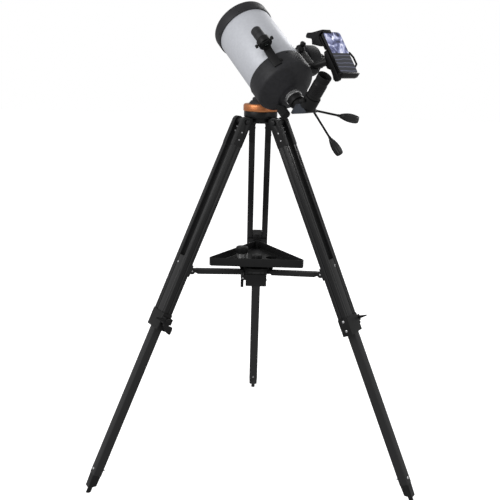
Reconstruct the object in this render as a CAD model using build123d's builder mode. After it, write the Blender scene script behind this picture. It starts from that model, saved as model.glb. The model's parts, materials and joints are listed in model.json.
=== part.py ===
from build123d import *
from math import atan2, cos, degrees, radians, sin
import os

# A short, fat catadioptric telescope on a single-arm alt-azimuth head and a three-legged tripod.
# Millimetres, +Z up. The origin is on the ground, under the azimuth axis; the back leg points to +Y.

os.makedirs("parts", exist_ok=True)

# ---- driving dimensions: tripod ----
LEGS = {"front_left": 210, "front_right": 330, "back": 90}
hinge_radius, hinge_height = 56, 957
splay = 24.39
rail_width, rail_depth, rail_wall = 17, 24, 1.6
tube_gap = 26.6
lower_width, lower_depth, lower_wall = 26, 22, 1.8
yoke_length, rail_end = 66, 560
collar_start, collar_end = 536, 582
lower_start, lower_end = 381, 1000
brace_at, brace_inset = 411.1, 28
bolt_radius, running = 4, 0.08
collar_half, collar_depth = 32.2, 28.4
lever_x, lever_s, lever_half = 41.5, 552, 8
arm_half, arm_inner_radius, arm_inner_height = 8, 34, 550.6
plate_radius, plate_low, plate_high = 46, 556, 564
tray_radius, tray_corner, tray_top, tray_floor, sheet = 151, 10.4, 600, 578, 2
spare_x, spare_y, spare_low, spare_shoulder = -41, 25, 567, 592
foot_grip, foot_low, tip_radius = 18, 17, 6

# ---- driving dimensions: head and optical tube ----
heading, elevation = 38.1, 37.5
tube_offset, tube_height = -30, 1156.5
tube_radius, cell_radius = 73, 76
altitude_s = -70
ring_bottom, ring_top, ring_radius = 982.5, 1001.5, 46
silver_front, silver_back = 40, -125
cell_back, cell_shoulder = -205, -165
mirror_back = -166
diagonal_s, diagonal_half = -263, 18
holder_low, holder_high, holder_radius = 17.5, 48, 20
eyepiece_radius, sleeve_radius, eyepiece_end = 15.87, 17.5, 111.5
finder_turn, finder_rho, finder_radius = -40, 104, 13
finder_front, finder_back = -57, -109
clamp_start, clamp_length, clamp_radius = -110, 16, 17
focus_start, focus_u, focus_r = -240, -32, -25
arm_near, drum_end, drum_radius = 84, 125, 40
knob_gap, knob_length, knob_bore = 0.3, 28, 15.5
dock_knob_s, dock_knob_r = -80, 80
azimuth_rod_y, altitude_rod_y, rod_radius = 30, 42, 3
phone_long, phone_wide, phone_thick, phone_tilt = 124, 59, 8, 15

# ---- directions of the head and of the optical tube ----
UP = Vector(0, 0, 1)
RIGHT = Vector(cos(radians(heading)), sin(radians(heading)), 0)
AHEAD = Vector(-sin(radians(heading)), cos(radians(heading)), 0)
AXIS = AHEAD * cos(radians(elevation)) + UP * sin(radians(elevation))
TOP = UP * cos(radians(elevation)) - AHEAD * sin(radians(elevation))
CENTRE = Vector(0, 0, tube_height) + RIGHT * tube_offset
PIVOT = CENTRE + AXIS * altitude_s


def save(name, part):
    """Labels one finished piece and writes its STEP file."""
    part.label = name
    export_step(part, f"parts/{name}.step")


# ================= planes =================
def leg_directions(angle):
    """Outward, sideways and down-the-leg unit vectors of the leg at this angle."""
    outward = Vector(cos(radians(angle)), sin(radians(angle)), 0)
    sideways = Vector(-sin(radians(angle)), cos(radians(angle)), 0)
    down = outward * sin(radians(splay)) - UP * cos(radians(splay))
    return outward, sideways, down


def across_leg(angle, s):
    """Plane across a leg, s down from its hinge: x sideways, y outwards, z down the leg."""
    outward, sideways, down = leg_directions(angle)
    hinge = outward * hinge_radius + UP * hinge_height
    return Plane(origin=hinge + down * s, x_dir=sideways, z_dir=down)


def beside_leg(angle):
    """Upright plane through a leg: x outwards from the azimuth axis, y up."""
    outward, sideways, _ = leg_directions(angle)
    return Plane(origin=(0, 0, 0), x_dir=outward, z_dir=-sideways)


def along_leg(angle, x=0):
    """Plane along a leg at sideways place x: x down the leg, y outwards, origin at the hinge."""
    outward, sideways, down = leg_directions(angle)
    hinge = outward * hinge_radius + UP * hinge_height
    return Plane(origin=hinge + sideways * x, x_dir=down, z_dir=-sideways)


def across_tube(s, u=0, r=0):
    """Plane across the optical tube at s along its axis: x to the tube's top, y to its right."""
    return Plane(origin=CENTRE + AXIS * s + TOP * u + RIGHT * r, x_dir=TOP, z_dir=AXIS)


def tube_section(turn=0):
    """Plane through the tube's axis: x radially out at this turn from the top, y along the axis."""
    radial = TOP * cos(radians(turn)) + RIGHT * sin(radians(turn))
    return Plane(origin=CENTRE, x_dir=radial, z_dir=AXIS.cross(radial) * -1)


def beside_tube(r):
    """Plane along the optical tube at r to its right: x along its axis, y to its top."""
    return Plane(origin=CENTRE + RIGHT * r, x_dir=AXIS, z_dir=RIGHT)


def up_tube(s, u, r=0):
    """Plane facing the tube's top at s along its axis and u above it: x to the right."""
    return Plane(origin=CENTRE + AXIS * s + TOP * u + RIGHT * r, x_dir=RIGHT, z_dir=TOP)


def beside_head(lateral):
    """Upright plane at this distance to the head's right: x ahead, y up."""
    return Plane(origin=RIGHT * lateral, x_dir=AHEAD, z_dir=RIGHT)


def head_level(height):
    """Level plane at this height: x to the head's right, y ahead."""
    return Plane(origin=UP * height, x_dir=RIGHT, z_dir=UP)


tube_axis = Axis(CENTRE, AXIS)


def section(*points):
    """Half section of a turned piece, from (radius, s) points beside the optical tube's axis."""
    with BuildSketch(tube_section()) as outline:
        with BuildLine():
            Polyline(*points, close=True)
        make_face()
    return outline.sketch


# ================= tripod head =================
with BuildPart() as hub:
    with BuildSketch(Plane.XZ):
        with BuildLine():
            Polyline((11, 952), (30, 952), (34, 956), (34, 964), (42, 966), (44, 969),
                     (44, ring_bottom), (5.1, ring_bottom), (5.1, 966), (11, 966), close=True)
        make_face()
    revolve(axis=Axis.Z)
    for angle in LEGS.values():
        with BuildSketch(beside_leg(angle)):
            with Locations((42, hinge_height)):
                Rectangle(28, 18)
            with Locations((hinge_radius, hinge_height)):
                Circle(9)
                Circle(bolt_radius + running, mode=Mode.SUBTRACT)
        extrude(amount=12.9, both=True)
save("hub", hub.part)

with BuildPart() as azimuth_ring:
    with BuildSketch(Plane.XZ):
        with BuildLine():
            Polyline((12.06, ring_bottom), (44, ring_bottom), (ring_radius, ring_bottom + 2),
                     (ring_radius, ring_top - 3.5), (43.5, ring_top), (12.06, ring_top), close=True)
        make_face()
    revolve(axis=Axis.Z)
save("azimuth_ring", azimuth_ring.part)

with BuildPart() as center_bolt:
    with BuildSketch(Plane.XY.offset(956)):
        RegularPolygon(9, 6)
    extrude(amount=10)
    with BuildSketch(Plane.XY.offset(966)):
        Circle(5)
    extrude(amount=16)

with BuildPart() as hinge_bolts:
    for angle in LEGS.values():
        outward, sideways, _ = leg_directions(angle)
        hinge = outward * hinge_radius + UP * hinge_height
        with BuildSketch(Plane(origin=hinge, x_dir=outward, z_dir=sideways)):
            Circle(bolt_radius)
        extrude(amount=33, both=True)
        for side in (1, -1):
            with BuildSketch(Plane(origin=hinge + sideways * side * 30.6, x_dir=outward,
                                   z_dir=sideways * side)):
                RegularPolygon(7, 6)
            extrude(amount=5.4)
save("head_bolts", Compound(children=[*center_bolt.part.solids(), *hinge_bolts.part.solids()]))

# ================= legs =================
rail_x = tube_gap / 2 + rail_width / 2


def build_leg(name, angle):
    """Everything of one leg: yoke, rails, brace bracket, clamp collar, lever, lower tube, foot."""
    with BuildPart() as yoke:
        for side in (1, -1):
            with BuildSketch(along_leg(angle, side * rail_x)):
                with Locations((yoke_length / 2, 0)):
                    Rectangle(yoke_length, rail_depth + 2)
                Circle(rail_depth / 2 + 1)
                Circle(bolt_radius + running, mode=Mode.SUBTRACT)
            extrude(amount=rail_width / 2, both=True)
    save(f"leg_yoke_{name}", yoke.part)

    with BuildPart() as rails:
        with BuildSketch(across_leg(angle, yoke_length)):
            with Locations((rail_x, 0), (-rail_x, 0)):
                RectangleRounded(rail_width, rail_depth, 3.5)
                RectangleRounded(rail_width - 2 * rail_wall, rail_depth - 2 * rail_wall, 2,
                                 mode=Mode.SUBTRACT)
        extrude(amount=rail_end - yoke_length)

    with BuildPart() as bracket:
        with BuildSketch(across_leg(angle, brace_at - 16)):
            with Locations((0, -rail_depth / 2 - 2)):
                Rectangle(tube_gap + 2 * rail_width, 4)
        extrude(amount=32)
        for side in (1, -1):
            with BuildSketch(along_leg(angle, side * (arm_half + 2.4))):
                with Locations((brace_at, -brace_inset + 5)):
                    Rectangle(18, 18)
                with Locations((brace_at, -brace_inset)):
                    Circle(9)
            extrude(amount=2, both=True)
        with BuildSketch(along_leg(angle)):
            with Locations((brace_at, -brace_inset)):
                Circle(3)
        extrude(amount=arm_half + 1, both=True)
    save(f"leg_rails_{name}", Compound(children=[*rails.part.solids(), *bracket.part.solids()]))

    with BuildPart() as collar:
        with BuildSketch(across_leg(angle, collar_start)):
            RectangleRounded(2 * collar_half, collar_depth, 3)
        extrude(amount=collar_end - collar_start)
        with BuildSketch(across_leg(angle, collar_start)):
            Rectangle(tube_gap + 2 * rail_width + 0.2, rail_depth + 0.2)
        extrude(amount=rail_end - collar_start + 0.1, mode=Mode.SUBTRACT)
        with BuildSketch(across_leg(angle, collar_start)):
            Rectangle(lower_width + 0.6, lower_depth + 0.6)
        extrude(amount=collar_end - collar_start, mode=Mode.SUBTRACT)
        for side in (1, -1):
            with BuildSketch(across_leg(angle, lever_s - 8)):
                with Locations((collar_half + 6.5, side * (lever_half + 2.4))):
                    Rectangle(15, 3.6)
            extrude(amount=16)
        with BuildSketch(Plane(origin=across_leg(angle, lever_s).from_local_coords((lever_x, lever_half + 3)),
                               x_dir=across_leg(angle, 0).x_dir, z_dir=across_leg(angle, 0).y_dir)):
            Circle(4.5)
        extrude(amount=23, taper=7)
        with BuildSketch(Plane(origin=across_leg(angle, lever_s).from_local_coords((lever_x, 0)),
                               x_dir=across_leg(angle, 0).x_dir, z_dir=across_leg(angle, 0).y_dir)):
            Circle(2.5)
        extrude(amount=10, both=True)
    save(f"leg_collar_{name}", collar.part)

    with BuildPart() as lever:
        pivot = across_leg(angle, 0)
        with BuildSketch(Plane(origin=pivot.origin, x_dir=pivot.x_dir, z_dir=pivot.y_dir * -1)):
            with Locations((lever_x, lever_s)):
                Circle(6.5)
            with Locations((lever_x + 1, lever_s + 8)):
                Rectangle(7, 14)
            with Locations((lever_x, lever_s)):
                Circle(2.5 + running, mode=Mode.SUBTRACT)
        extrude(amount=lever_half, both=True)
        with BuildSketch(along_leg(angle, lever_x + 6)):
            with BuildLine():
                Polyline((lever_s + 11, -18), (lever_s + 11, lever_half), (lever_s + 15, lever_half),
                         (lever_s + 24, -1), (lever_s + 31, -13), (lever_s + 32, -18),
                         (lever_s + 28, -20), (lever_s + 16, -20), close=True)
            make_face()
        extrude(amount=9)
    save(f"leg_lever_{name}", lever.part)

    with BuildPart() as lower:
        with BuildSketch(across_leg(angle, lower_start)):
            RectangleRounded(lower_width, lower_depth, 4)
        extrude(amount=lower_end - lower_start)
        with BuildSketch(across_leg(angle, lower_start + 14)):
            RectangleRounded(lower_width - 2 * lower_wall, lower_depth - 2 * lower_wall, 2.5)
        extrude(amount=lower_end - lower_start - 14, mode=Mode.SUBTRACT)
    save(f"lower_tube_{name}", lower.part)

    with BuildPart() as foot:
        with BuildSketch(across_leg(angle, lower_end)):
            RectangleRounded(lower_width + 1, lower_depth + 1, 4.5)
        extrude(amount=60, taper=2)
        with BuildSketch(across_leg(angle, lower_end - foot_grip)):
            RectangleRounded(lower_width - 2 * lower_wall - 0.1, lower_depth - 2 * lower_wall - 0.1, 2.4)
        extrude(amount=foot_grip)
        split(bisect_by=Plane.XY.offset(foot_low), keep=Keep.TOP)
        with BuildSketch(across_leg(angle, lower_end + 20)):
            Circle(tip_radius)
        extrude(amount=40)
        split(bisect_by=Plane.XY, keep=Keep.TOP)
    save(f"foot_{name}", foot.part)


for leg_name, leg_angle in LEGS.items():
    build_leg(leg_name, leg_angle)

# ================= spreader and tray =================
brace_radius = (hinge_radius + brace_at * sin(radians(splay))
                - brace_inset * cos(radians(splay)))
brace_height = (hinge_height - brace_at * cos(radians(splay))
                - brace_inset * sin(radians(splay)))
arm_run, arm_rise = brace_radius - arm_inner_radius, brace_height - arm_inner_height
arm_middle = (brace_radius + arm_inner_radius) / 2, (brace_height + arm_inner_height) / 2

for leg_name, leg_angle in LEGS.items():
    with BuildPart() as arm:
        with BuildSketch(beside_leg(leg_angle)):
            with Locations(arm_middle):
                SlotCenterToCenter((arm_run**2 + arm_rise**2) ** 0.5, 10,
                                   rotation=degrees(atan2(arm_rise, arm_run)))
            with Locations((brace_radius, brace_height)):
                Circle(3 + running, mode=Mode.SUBTRACT)
        extrude(amount=arm_half, both=True)
    save(f"spreader_arm_{leg_name}", arm.part)

with BuildPart() as spreader_plate:
    with BuildSketch(Plane.XY.offset(plate_low)):
        Circle(plate_radius)
        for angle in LEGS.values():
            outward, _, _ = leg_directions(angle)
            with Locations(Location(tuple(outward * (25 + plate_radius / 2)), (0, 0, angle))):
                Rectangle(plate_radius, 2 * arm_half + 2, mode=Mode.SUBTRACT)
    extrude(amount=plate_high - plate_low)
    for angle in LEGS.values():
        for side in (1, -1):
            _, sideways, _ = leg_directions(angle)
            with BuildSketch(beside_leg(angle).offset(side * 11)):
                with Locations((36, plate_low - 4)):
                    Rectangle(10, 10)
            extrude(amount=1.4, both=True)
save("spreader_plate", spreader_plate.part)

with BuildPart() as tray:
    with BuildSketch(Plane.XY.offset(tray_floor)) as outline:
        RegularPolygon(tray_radius, 3, rotation=90)
        chamfer(outline.vertices(), tray_corner)
    extrude(amount=tray_top - tray_floor)
    with BuildSketch(Plane.XY.offset(tray_floor + sheet)):
        offset(outline.sketch.face(), -sheet)
    extrude(amount=tray_top - tray_floor, mode=Mode.SUBTRACT)
    with BuildSketch(Plane.XY.offset(plate_high)):
        Circle(17)
    extrude(amount=tray_floor - plate_high + 4)
    with BuildSketch(Plane.XY.offset(plate_high)):
        Circle(4 + running)
    extrude(amount=tray_top, mode=Mode.SUBTRACT)
    with BuildSketch(Plane.XY.offset(tray_floor)):
        with Locations((spare_x, spare_y), (-spare_x, spare_y)):
            Circle(15.95)
    extrude(amount=sheet, mode=Mode.SUBTRACT)
save("tray", tray.part)

with BuildPart() as tray_knob:
    with BuildSketch(Plane.XY.offset(plate_high + 0.4)):
        Circle(4)
    extrude(amount=tray_floor + 5 - plate_high)
    with BuildSketch(Plane.XY.offset(tray_floor + 4.4)):
        Circle(15)
        with PolarLocations(16.5, 6):
            Circle(3.5, mode=Mode.SUBTRACT)
    extrude(amount=12)
    fillet(tray_knob.faces().sort_by(Axis.Z)[-1].outer_wire().edges(), 1.5)
save("tray_knob", tray_knob.part)

with BuildPart() as spare_barrel:
    with BuildSketch(Plane(origin=(spare_x, spare_y, spare_low))):
        Circle(eyepiece_radius)
        Circle(eyepiece_radius - 1.5, mode=Mode.SUBTRACT)
    extrude(amount=spare_shoulder - spare_low)

with BuildPart() as spare_body:
    with BuildSketch(Plane(origin=(spare_x, spare_y, spare_shoulder))):
        Circle(17.2)
    extrude(amount=18)
    fillet(spare_body.faces().sort_by(Axis.Z)[-1].edges(), 5)
save("spare_eyepiece", Compound(children=[*spare_barrel.part.solids(), *spare_body.part.solids()]))

# ================= single-arm head =================
with BuildPart() as azimuth_base:
    with BuildSketch(Plane.XZ):
        with BuildLine():
            Polyline((0, ring_bottom + 0.5), (12, ring_bottom + 0.5), (12, ring_top + 0.3),
                     (32, ring_top + 0.3), (31, 1004), (26, 1010), (0, 1010), close=True)
        make_face()
    revolve(axis=Axis.Z)
save("azimuth_base", azimuth_base.part)

pivot_ahead, pivot_height = PIVOT.dot(AHEAD), PIVOT.Z
with BuildPart() as mount_arm:
    with BuildSketch(head_level(1010)):
        Circle(23)
        with Locations((76, 0)):
            Circle(31)
        make_hull()
    extrude(amount=9)
    fillet(mount_arm.faces().sort_by(Axis.Z)[-1].edges(), 6)
    with BuildSketch(beside_head(arm_near)):
        with Locations((pivot_ahead, pivot_height)):
            Circle(drum_radius)
        with Locations((-2, 1034)):
            Circle(24)
        make_hull()
    extrude(amount=20)
    with BuildSketch(beside_head(arm_near)):
        with Locations((pivot_ahead, pivot_height)):
            Circle(drum_radius)
    extrude(amount=drum_end - arm_near)
    fillet(mount_arm.faces().sort_by(Axis((0, 0, 0), tuple(RIGHT)))[-1].edges(), 5)
    with BuildSketch(beside_head(arm_near)):
        with Locations((pivot_ahead, pivot_height)):
            Circle(8 + running)
    extrude(amount=drum_end - arm_near, mode=Mode.SUBTRACT)
save("mount_arm", mount_arm.part)


def rod_plane(x, y, z, drop):
    """Plane across a control rod at its inner end, z along the rod, which slopes down by drop."""
    slope = radians(drop)
    return Plane(origin=(x, y, z), x_dir=(0, 1, 0), z_dir=(cos(slope), 0, -sin(slope)))


RODS = {"azimuth": (rod_plane(126, azimuth_rod_y, 989, 10.5), 86),
        "altitude": (rod_plane(131.7, altitude_rod_y, 996.2, 55.9), 103)}

with BuildPart() as gearbox:
    with BuildSketch(Plane.XY.offset(984)):
        with Locations((114, 36)):
            RectangleRounded(42, 32, 5)
    extrude(amount=26)
    with BuildSketch(Plane.XY.offset(1000)):
        with Locations((62, 38), (112, 36)):
            Circle(14)
        make_hull()
    extrude(amount=10)
    for plane, _ in RODS.values():
        with BuildSketch(plane.offset(-2)):
            Circle(rod_radius + running)
        extrude(amount=60, mode=Mode.SUBTRACT)
save("slow_motion_gearbox", gearbox.part)

grip_outline = ((4.5, 0), (6.5, 3), (9, 14), (11, 30), (11, 40), (9, 50), (6, 52), (0, 52))
for rod_name, (plane, length) in RODS.items():
    with BuildPart() as rod:
        with BuildSketch(plane):
            Circle(rod_radius)
        extrude(amount=length)
    save(f"{rod_name}_rod", rod.part)
    with BuildPart() as grip:
        with BuildSketch(Plane(origin=plane.origin + plane.z_dir * length, x_dir=plane.x_dir,
                               z_dir=plane.y_dir * -1)):
            with BuildLine():
                Polyline((0, 0), *grip_outline, close=True)
            make_face()
        revolve(axis=Axis(plane.origin, plane.z_dir))
    save(f"{rod_name}_grip", grip.part)

with BuildPart() as altitude_knob:
    with BuildSketch(beside_head(drum_end + knob_gap)):
        with Locations((pivot_ahead, pivot_height)):
            RegularPolygon(21, 10)
    extrude(amount=knob_length)
    with BuildSketch(beside_head(drum_end + knob_gap)):
        with Locations((pivot_ahead, pivot_height)):
            Circle(8 + running)
    extrude(amount=knob_bore, mode=Mode.SUBTRACT)
save("altitude_knob", altitude_knob.part)

# ================= saddle =================
with BuildPart() as saddle:
    with BuildSketch(across_tube(-110)):
        with Locations((0, 92.5)):
            Rectangle(60, 12)
        for side in (1, -1):
            with BuildLine():
                Polyline((side * 30, 74), (side * 30, 87), (side * 18.6, 87),
                         (side * 22.6, 74), close=True)
            make_face()
    extrude(amount=80)
    with BuildSketch(beside_tube(98)):
        with Locations((altitude_s, 0)):
            Circle(30)
    extrude(amount=15.7)
    with BuildSketch(beside_tube(98)):
        with Locations((altitude_s, 0)):
            Circle(8)
    extrude(amount=72)
    with BuildSketch(up_tube(altitude_s, -35, 81)):
        Circle(3 + running)
    extrude(amount=20, mode=Mode.SUBTRACT)
save("saddle", saddle.part)

with BuildPart() as saddle_knob:
    with BuildSketch(up_tube(altitude_s, -50, 81)):
        RegularPolygon(9, 8)
    extrude(amount=19.6)
    with BuildSketch(up_tube(altitude_s, -40, 81)):
        Circle(3)
    extrude(amount=17)
save("saddle_knob", saddle_knob.part)

# ================= optical tube =================
with BuildPart() as dovetail:
    with BuildSketch(across_tube(-118)):
        with BuildLine():
            Polyline((-22.2, 66), (22.2, 66), (22.2, 74), (18.6, 86), (-18.6, 86),
                     (-22.2, 74), close=True)
        make_face()
        Circle(tube_radius, mode=Mode.SUBTRACT)
    extrude(amount=104)
save("dovetail_bar", dovetail.part)

with BuildPart() as tube:
    with BuildSketch(across_tube(silver_back)):
        Circle(tube_radius)
        Circle(tube_radius - 1.5, mode=Mode.SUBTRACT)
    extrude(amount=silver_front - silver_back)
save("tube", tube.part)

with BuildPart() as front_ring:
    revolve(section((66, silver_front), (cell_radius - 1, silver_front), (cell_radius, silver_front + 1),
                    (cell_radius, 68), (cell_radius - 2, 70), (68, 70), (66, 64)), axis=tube_axis)

with BuildPart() as corrector:
    with BuildSketch(tube_section()):
        with BuildLine():
            Polyline((8, 44), (0, 44), (0, 52), (8, 52))
            ThreePointArc((8, 52), (38, 54), (65.8, 59))
            Line((65.8, 59), (65.8, 51))
            ThreePointArc((65.8, 51), (38, 46), (8, 44))
        make_face()
    revolve(axis=tube_axis)
save("corrector_lens", corrector.part)

with BuildPart() as retainer:
    revolve(section((61, 60.5), (65.9, 60.5), (65.9, 63), (61, 63)), axis=tube_axis)
save("front_ring", Compound(children=[*front_ring.part.solids(), *retainer.part.solids()]))

with BuildPart() as secondary_baffle:
    revolve(section((14, 43.4), (15.5, 43.4), (15.5, 18), (17.5, 18), (17.5, 16), (14, 16)), axis=tube_axis)
save("secondary_baffle", secondary_baffle.part)

with BuildPart() as rear_cell:
    with BuildSketch(tube_section()):
        with BuildLine():
            Polyline((cell_radius - 8, cell_shoulder - 12.5), (40, cell_back), (16.1, cell_back),
                     (16.1, cell_back + 4), (38, cell_back + 4), (65.5, cell_shoulder - 10.5),
                     (72, cell_shoulder - 2), (72, silver_back), (cell_radius - 1, silver_back),
                     (cell_radius, silver_back - 1), (cell_radius, cell_shoulder))
            ThreePointArc((cell_radius, cell_shoulder), (cell_radius - 2.2, cell_shoulder - 7.6),
                          (cell_radius - 8, cell_shoulder - 12.5))
        make_face()
    revolve(axis=tube_axis)
    with BuildSketch(across_tube(cell_back, focus_u, focus_r)):
        Circle(3 + running)
    extrude(amount=12, mode=Mode.SUBTRACT)
save("rear_cell", rear_cell.part)

with BuildPart() as baffle_tube:
    revolve(section((14.4, cell_back + 2), (16, cell_back + 2), (16, -45), (14.4, -45)), axis=tube_axis)
save("baffle_tube", baffle_tube.part)

with BuildPart() as primary_mirror:
    with BuildSketch(tube_section()):
        with BuildLine():
            Polyline((64, mirror_back + 13), (64, mirror_back), (16 + running, mirror_back),
                     (16 + running, mirror_back + 7.4))
            ThreePointArc((16 + running, mirror_back + 7.4), (42, mirror_back + 9),
                          (64, mirror_back + 13))
        make_face()
    revolve(axis=tube_axis)
save("primary_mirror", primary_mirror.part)

with BuildPart() as focus_knob:
    with BuildSketch(across_tube(focus_start, focus_u, focus_r)):
        Circle(12)
    extrude(amount=26)
    fillet(focus_knob.faces().sort_by(Axis(CENTRE, AXIS))[0].edges(), 1.5)
    with BuildSketch(across_tube(focus_start, focus_u, focus_r)):
        Circle(7)
    extrude(amount=34.4)
    with BuildSketch(across_tube(focus_start, focus_u, focus_r)):
        Circle(3)
    extrude(amount=59)
save("focus_knob", focus_knob.part)

with BuildPart() as visual_back:
    revolve(section((15.95, cell_back), (21.5, cell_back), (21.5, -213), (20.5, -214), (19.5, -214),
                    (19.5, -230), (15.95, -230)), axis=tube_axis)
save("visual_back", visual_back.part)

# ================= star diagonal and eyepiece =================
with BuildPart() as diagonal_body:
    revolve(section((14.2, -208), (eyepiece_radius, -208), (eyepiece_radius, -241.7),
                    (14.2, -241.7)), axis=tube_axis)
    with BuildSketch(beside_tube(0)):
        with BuildLine():
            Polyline((-241.5, -20), (-247, -20), (-283, 16), (-283, 20), (-241.5, 20), close=True)
        make_face()
    extrude(amount=diagonal_half, both=True)
    with BuildSketch(beside_tube(0)):
        with BuildLine():
            Polyline((-244.5, -17), (-247.5, -17), (-280, 15.5), (-280, 17), (-244.5, 17),
                     close=True)
        make_face()
    extrude(amount=diagonal_half - 3, both=True, mode=Mode.SUBTRACT)
    with BuildSketch(up_tube(diagonal_s, holder_low)):
        Circle(holder_radius)
    extrude(amount=holder_high - holder_low)
    with BuildSketch(up_tube(diagonal_s, 16)):
        Circle(15.95)
    extrude(amount=33, mode=Mode.SUBTRACT)
    with BuildSketch(across_tube(-245.5)):
        Circle(14.2)
    extrude(amount=5, mode=Mode.SUBTRACT)
save("diagonal_body", diagonal_body.part)

with BuildPart() as diagonal_mirror:
    with BuildSketch(beside_tube(0)):
        with BuildLine():
            Polyline((-246.5, -14.5), (-249.5, -14.5), (-277.5, 13.5), (-277.5, 16.5), close=True)
        make_face()
    extrude(amount=diagonal_half - 4, both=True)
save("diagonal_mirror", diagonal_mirror.part)

with BuildPart() as eyepiece:
    with BuildSketch(up_tube(diagonal_s, 24)):
        Circle(eyepiece_radius)
    extrude(amount=26)
    with BuildSketch(up_tube(diagonal_s, 48.5)):
        Circle(sleeve_radius)
    extrude(amount=49.5)
    with BuildSketch(up_tube(diagonal_s, 24)):
        Circle(11)
    extrude(amount=60, mode=Mode.SUBTRACT)

with BuildPart() as eyecup:
    with BuildSketch(up_tube(diagonal_s, 98)):
        Circle(sleeve_radius)
        Circle(sleeve_radius - 3, mode=Mode.SUBTRACT)
    extrude(amount=eyepiece_end - 98)
save("eyepiece", Compound(children=[*eyepiece.part.solids(), *eyecup.part.solids()]))

# ================= finder =================
with BuildPart() as finder_bracket:
    with BuildSketch(tube_section(finder_turn)):
        with BuildLine():
            Polyline((70, -161), (79, -161), (81, -136), (89, -114), (117, -113), (117, -110),
                     (85, -110), (78, -128), (70, -128), close=True)
        make_face()
    extrude(amount=10, both=True)
    finder_centre = tube_section(finder_turn).from_local_coords((finder_rho, 0))
    with BuildSketch(Plane(origin=finder_centre + AXIS * clamp_start, x_dir=TOP, z_dir=AXIS)):
        Circle(clamp_radius)
    extrude(amount=clamp_length)
    with BuildSketch(Plane(origin=finder_centre + AXIS * clamp_start, x_dir=TOP, z_dir=AXIS)):
        Circle(finder_radius + 0.4)
    extrude(amount=20, mode=Mode.SUBTRACT)
    with BuildSketch(Plane(origin=finder_centre + AXIS * (clamp_start - 8), x_dir=TOP, z_dir=AXIS)):
        Circle(6)
    extrude(amount=20, mode=Mode.SUBTRACT)
    with BuildSketch(across_tube(-180)):
        Circle(cell_radius)
    extrude(amount=60, mode=Mode.SUBTRACT)
save("finder_bracket", finder_bracket.part)

with BuildPart() as finder:
    with BuildSketch(Plane(origin=finder_centre + AXIS * finder_back, x_dir=TOP, z_dir=AXIS)):
        Circle(finder_radius)
        Circle(finder_radius - 1.8, mode=Mode.SUBTRACT)
    extrude(amount=finder_front - finder_back)
save("finder_tube", finder.part)

with BuildPart() as finder_window:
    for s in (finder_back + 3, finder_front - 5):
        with BuildSketch(Plane(origin=finder_centre + AXIS * s, x_dir=TOP, z_dir=AXIS)):
            Circle(finder_radius - 1.8)
        extrude(amount=1.6)
save("finder_windows", finder_window.part)

# ================= phone dock =================
tilt = radians(phone_tilt)
PHONE_UP = AXIS * cos(tilt) + TOP * sin(tilt)
PHONE_OUT = TOP * cos(tilt) - AXIS * sin(tilt)
PHONE = CENTRE + AXIS * -163 + TOP * 102.5 + RIGHT * 125


def phone_face(out):
    """Plane parallel to the phone's screen, out from it: x to its top end, y to the tube's left."""
    return Plane(origin=PHONE + PHONE_OUT * out, x_dir=PHONE_UP, z_dir=PHONE_OUT)


def phone_side(right):
    """Plane along the phone and square to its screen: x to its top end, y out of the screen."""
    return Plane(origin=PHONE + RIGHT * right, x_dir=PHONE_UP, z_dir=RIGHT)


with BuildPart() as phone_body:
    with BuildSketch(phone_face(-phone_thick)):
        RectangleRounded(phone_long, phone_wide, 7)
    extrude(amount=phone_thick - 0.6)
save("phone_body", phone_body.part)

with BuildPart() as phone_screen:
    with BuildSketch(phone_face(-0.6)):
        RectangleRounded(phone_long - 1.6, phone_wide - 1.6, 6.2)
    extrude(amount=0.6)
save("phone_screen", phone_screen.part)

with BuildPart() as dock_shoe:
    for start, length, inner in ((silver_back, 53, tube_radius), (-160, 35, cell_radius)):
        with BuildSketch(across_tube(start)):
            with Locations((39, 73)):
                Rectangle(14, 34)
            Circle(inner, mode=Mode.SUBTRACT)
        extrude(amount=length)
    link_start = CENTRE + AXIS * -146 + TOP * 42 + RIGHT * 78
    link = PHONE + PHONE_UP * -8 + PHONE_OUT * -24 + RIGHT * -20 - link_start
    with BuildSketch(Plane(origin=link_start, x_dir=AXIS.cross(link), z_dir=link)):
        Circle(9)
    extrude(amount=link.length)
    split(bisect_by=phone_side(-28), keep=Keep.BOTTOM)
save("dock_bracket", dock_shoe.part)

with BuildPart() as dock_knob:
    with BuildSketch(Plane(origin=CENTRE + AXIS * dock_knob_s + RIGHT * dock_knob_r,
                           x_dir=AXIS, z_dir=RIGHT)):
        with BuildLine():
            Polyline((0, 46.3), (12, 46.3), (11, 50), (5, 55), (7, 58), (7.5, 63), (5, 66),
                     (0, 66), close=True)
        make_face()
    revolve(axis=Axis(CENTRE + AXIS * dock_knob_s + RIGHT * dock_knob_r, TOP))
save("dock_knob", dock_knob.part)

with BuildPart() as dock_plate:
    with BuildSketch(phone_face(-13.6)):
        with Locations((-2, 0)):
            RectangleRounded(112, 46, 5)
    extrude(amount=5.3)
    with BuildSketch(phone_face(-24)):
        with Locations((0, 6)):
            RectangleRounded(34, 34, 5)
    extrude(amount=11)
    with BuildSketch(phone_side(-26)):
        with BuildLine():
            Polyline((-54, -13.6), (-54, -8.3), (-62.4, -8.3), (-62.4, 3), (-66, 4),
                     (-69, -8), (-66, -17), (-54, -17), close=True)
        make_face()
    extrude(amount=54)
    with BuildSketch(phone_side(-28)):
        with BuildLine():
            Polyline((17, -13.6), (17, -24), (8, -29), (-14, -37), (-23, -36.5), (-33, -28),
                     (-49, -30), (-58, -33), (-66, -30), (-69, -20), (-66, -13.6), close=True)
        make_face()
    extrude(amount=9)

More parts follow.
